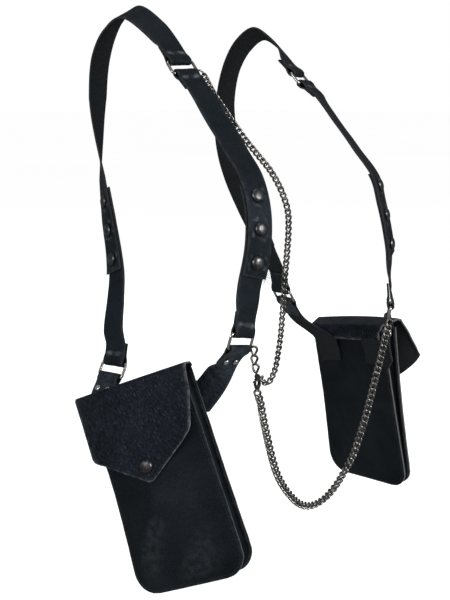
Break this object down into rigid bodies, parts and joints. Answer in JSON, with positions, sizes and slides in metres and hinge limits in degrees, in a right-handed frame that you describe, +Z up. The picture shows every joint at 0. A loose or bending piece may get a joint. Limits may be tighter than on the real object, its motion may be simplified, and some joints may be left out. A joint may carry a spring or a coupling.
{
  "type": "shoulder bag",
  "caption": "Black leather shoulder harness with a flap pouch at each hip, snap adjusters, wire rings, and a chain swagged across the front.",
  "frame": {"origin": "on the wearer's mid-line between the two shoulder straps, level with the top of the right shoulder strap", "axes": "+Z up, the wearer faces -Y, the wearer's left is +X"},
  "size_m": [0.4029, 0.2489, 0.5391],
  "materials": {
    "strap_leather": "matte grained black leather",
    "panel_leather": "smooth satin black leather",
    "flap_leather": "coarse grained black leather",
    "gunmetal": "polished gunmetal plate",
    "nickel": "bright nickel plate",
    "chain_metal": "polished dark steel"
  },
  "bodies": {
    "harness": {"right_front_panel": "panel_leather", "right_gusset": "panel_leather", "right_back_panel": "panel_leather", "right_flap": "flap_leather", "right_flap_snap": "gunmetal", "right_front_tab": "strap_leather", "right_rear_tab": "strap_leather", "right_front_tab_rivet_1": "nickel", "right_front_tab_rivet_2": "nickel", "right_rear_tab_rivet_1": "nickel", "right_rear_tab_rivet_2": "nickel", "right_shoulder_ring": "nickel", "right_hip_front_ring": "nickel", "right_hip_rear_ring": "nickel", "right_shoulder_strap": "strap_leather", "right_front_upper_strap": "strap_leather", "right_front_lower_strap": "strap_leather", "right_front_snap_1": "gunmetal", "right_front_snap_2": "gunmetal", "right_front_snap_3": "gunmetal", "right_rear_lower_strap": "strap_leather", "right_rear_snap_1": "gunmetal", "right_rear_snap_2": "gunmetal", "right_rear_snap_3": "gunmetal", "left_front_panel": "panel_leather", "left_gusset": "panel_leather", "left_back_panel": "panel_leather", "left_flap": "flap_leather", "left_flap_snap": "gunmetal", "left_front_tab": "strap_leather", "left_rear_tab": "strap_leather", "left_front_tab_rivet_1": "nickel", "left_front_tab_rivet_2": "nickel", "left_rear_tab_rivet_1": "nickel", "left_rear_tab_rivet_2": "nickel", "left_shoulder_ring": "nickel", "left_hip_front_ring": "nickel", "left_hip_rear_ring": "nickel", "left_shoulder_strap": "strap_leather", "left_front_upper_strap": "strap_leather", "left_front_lower_strap": "strap_leather", "left_front_snap_1": "gunmetal", "left_front_snap_2": "gunmetal", "left_front_snap_3": "gunmetal", "left_rear_lower_strap": "strap_leather", "left_rear_snap_1": "gunmetal", "left_rear_snap_2": "gunmetal", "left_rear_snap_3": "gunmetal", "hanger_chain": "chain_metal", "long_chain": "chain_metal", "thin_chain": "chain_metal", "clasp_body": "gunmetal", "clasp_ring": "gunmetal"},
    "clasp_gate": {"clasp_lever": "gunmetal"}
  },
  "joints": [
    {"name": "clasp_gate_hinge", "type": "hinge", "parent": "harness", "child": "clasp_gate", "pos_m": [-0.09145, -0.168, -0.33345], "axis": [0, -1, 0], "range_deg": [0, 30], "stiffness_Nm_per_rad": 0.005}
  ]
}
